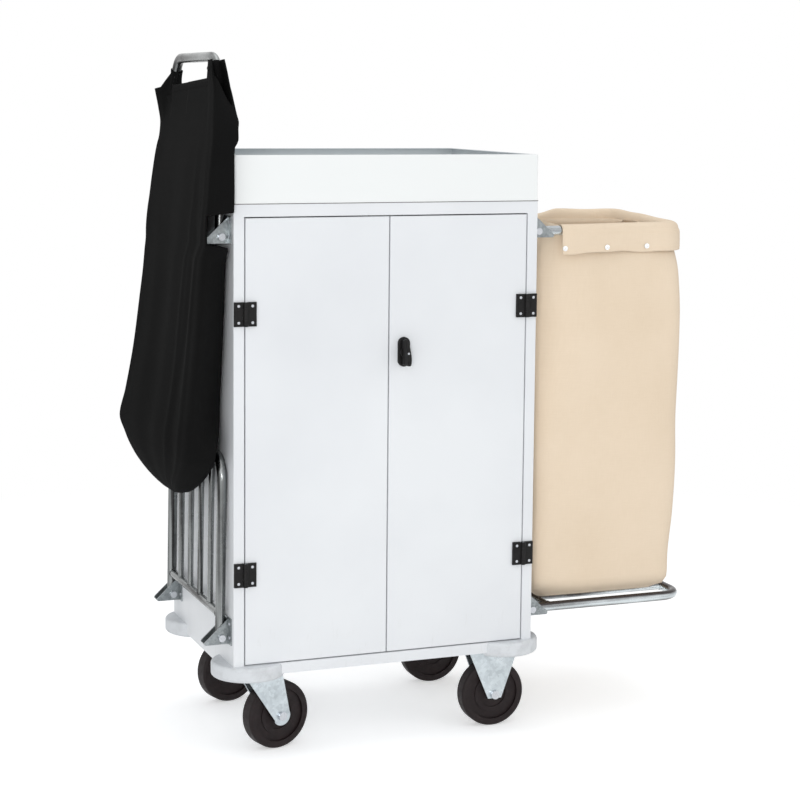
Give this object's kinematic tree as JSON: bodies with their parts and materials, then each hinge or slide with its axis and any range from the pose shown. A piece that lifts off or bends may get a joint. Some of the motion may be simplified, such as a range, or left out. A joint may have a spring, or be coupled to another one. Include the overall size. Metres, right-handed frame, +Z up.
{
  "type": "enclosed linen cart",
  "caption": "Enclosed linen cart: a two-door cabinet with an open top tray on swivel and rigid casters, with folding end frames that carry laundry bags over folding platforms.",
  "frame": {"origin": "on the floor, under the middle of the outer limits of the whole cart", "axes": "+Z up, -Y out of the doors, +X towards the end with the open bag"},
  "size_m": [1.1676, 0.527, 1.4128],
  "materials": {
    "board_white": "white melamine-faced board with a faint sheen",
    "tray_white": "white powder-coated sheet steel",
    "bumper_grey": "pale grey moulded bumper plastic",
    "tube_steel": "plated mid-grey steel tube with a soft shine",
    "zinc": "bright zinc-plated pressed steel",
    "hinge_black": "black moulded plastic",
    "wheel_black": "very dark brown-black moulded wheel",
    "bolt_steel": "plated steel fasteners",
    "bag_beige": "heavy beige woven cloth",
    "bag_black": "black woven cloth",
    "catch_grey": "grey catch housing"
  },
  "bodies": {
    "cart": {"base_board": "board_white", "side_right": "board_white", "side_left": "board_white", "back_panel": "board_white", "top_board": "board_white", "tray": "tray_white", "shelf_1": "board_white", "shelf_2": "board_white", "shelf_supports": "bolt_steel", "hinge_fixed_left": "hinge_black", "hinge_fixed_right": "hinge_black", "hinge_pins_left": "bolt_steel", "hinge_pins_right": "bolt_steel", "door_catch": "catch_grey", "bumper_front_right": "bumper_grey", "bumper_front_left": "bumper_grey", "bumper_rear_right": "bumper_grey", "bumper_rear_left": "bumper_grey", "swivel_plate_front": "zinc", "rigid_fork_front": "zinc", "axle_front_right": "bolt_steel", "swivel_plate_rear": "zinc", "rigid_fork_rear": "zinc", "axle_rear_right": "bolt_steel", "brackets_upper_right": "zinc", "brackets_upper_left": "zinc", "pivots_upper_right": "bolt_steel", "pivots_upper_left": "bolt_steel", "brackets_lower_right": "zinc", "brackets_lower_left": "zinc", "pivots_lower_right": "bolt_steel", "pivots_lower_left": "bolt_steel"},
    "door_left": {"door_left": "board_white", "hinge_moving_left": "hinge_black", "strike_left": "bolt_steel"},
    "door_right": {"door_right": "board_white", "hinge_moving_right": "hinge_black", "strike_right": "bolt_steel", "latch_plate": "hinge_black"},
    "latch": {"latch_lever": "hinge_black", "latch_cam": "bolt_steel"},
    "frame_left": {"frame_left": "tube_steel", "bag_left": "bag_black"},
    "frame_right": {"frame_right": "tube_steel", "bag_right": "bag_beige", "snap_studs": "bolt_steel"},
    "platform_left": {"platform_left": "tube_steel"},
    "platform_right": {"platform_right": "tube_steel"},
    "swivel_front": {"swivel_fork_front": "zinc", "axle_front_left": "bolt_steel"},
    "swivel_rear": {"swivel_fork_rear": "zinc", "axle_rear_left": "bolt_steel"},
    "wheel_front_left": {"wheel_front_left": "wheel_black"},
    "wheel_rear_left": {"wheel_rear_left": "wheel_black"},
    "wheel_front_right": {"wheel_front_right": "wheel_black"},
    "wheel_rear_right": {"wheel_rear_right": "wheel_black"}
  },
  "joints": [
    {"name": "left_door_hinge", "type": "hinge", "parent": "cart", "child": "door_left", "pos_m": [-0.431, -0.2267, 0.64], "axis": [0, 0, -1], "range_deg": [0, 135]},
    {"name": "right_door_hinge", "type": "hinge", "parent": "cart", "child": "door_right", "pos_m": [0.1725, -0.2267, 0.64], "axis": [0, 0, 1], "range_deg": [0, 170]},
    {"name": "latch_turn", "type": "hinge", "parent": "door_right", "child": "latch", "pos_m": [-0.09825, -0.2215, 0.814], "axis": [0, -1, 0], "range_deg": [0, 90]},
    {"name": "left_frame_fold", "type": "hinge", "parent": "cart", "child": "frame_left", "pos_m": [-0.47025, 0.0085, 1.05], "axis": [0, -1, 0], "range_deg": [0, 90.97], "deforming": ["bag_left"]},
    {"name": "right_frame_fold", "type": "hinge", "parent": "cart", "child": "frame_right", "pos_m": [0.21175, 0.0085, 1.05], "axis": [0, -1, 0], "range_deg": [0, 90.97], "deforming": ["bag_right", "snap_studs"]},
    {"name": "left_platform_fold", "type": "hinge", "parent": "cart", "child": "platform_left", "pos_m": [-0.47025, 0.0085, 0.248], "axis": [0, -1, 0], "range_deg": [0, 90.89]},
    {"name": "right_platform_fold", "type": "hinge", "parent": "cart", "child": "platform_right", "pos_m": [0.21175, 0.0085, 0.248], "axis": [0, -1, 0], "range_deg": [0, 90.89]},
    {"name": "swivel_front_turn", "type": "hinge", "parent": "cart", "child": "swivel_front", "pos_m": [-0.38225, -0.1615, 0.07], "axis": [0, 0, 1], "continuous": true},
    {"name": "wheel_front_left_spin", "type": "hinge", "parent": "swivel_front", "child": "wheel_front_left", "pos_m": [-0.34538, -0.15231, 0.07], "axis": [-0.2419, 0.9703, 0], "continuous": true},
    {"name": "wheel_front_right_spin", "type": "hinge", "parent": "cart", "child": "wheel_front_right", "pos_m": [0.12975, -0.1615, 0.07], "axis": [0, 1, 0], "continuous": true},
    {"name": "swivel_rear_turn", "type": "hinge", "parent": "cart", "child": "swivel_rear", "pos_m": [-0.38225, 0.1785, 0.07], "axis": [0, 0, 1], "continuous": true},
    {"name": "wheel_rear_left_spin", "type": "hinge", "parent": "swivel_rear", "child": "wheel_rear_left", "pos_m": [-0.34538, 0.18769, 0.07], "axis": [-0.2419, 0.9703, 0], "continuous": true},
    {"name": "wheel_rear_right_spin", "type": "hinge", "parent": "cart", "child": "wheel_rear_right", "pos_m": [0.12975, 0.1785, 0.07], "axis": [0, 1, 0], "continuous": true}
  ]
}
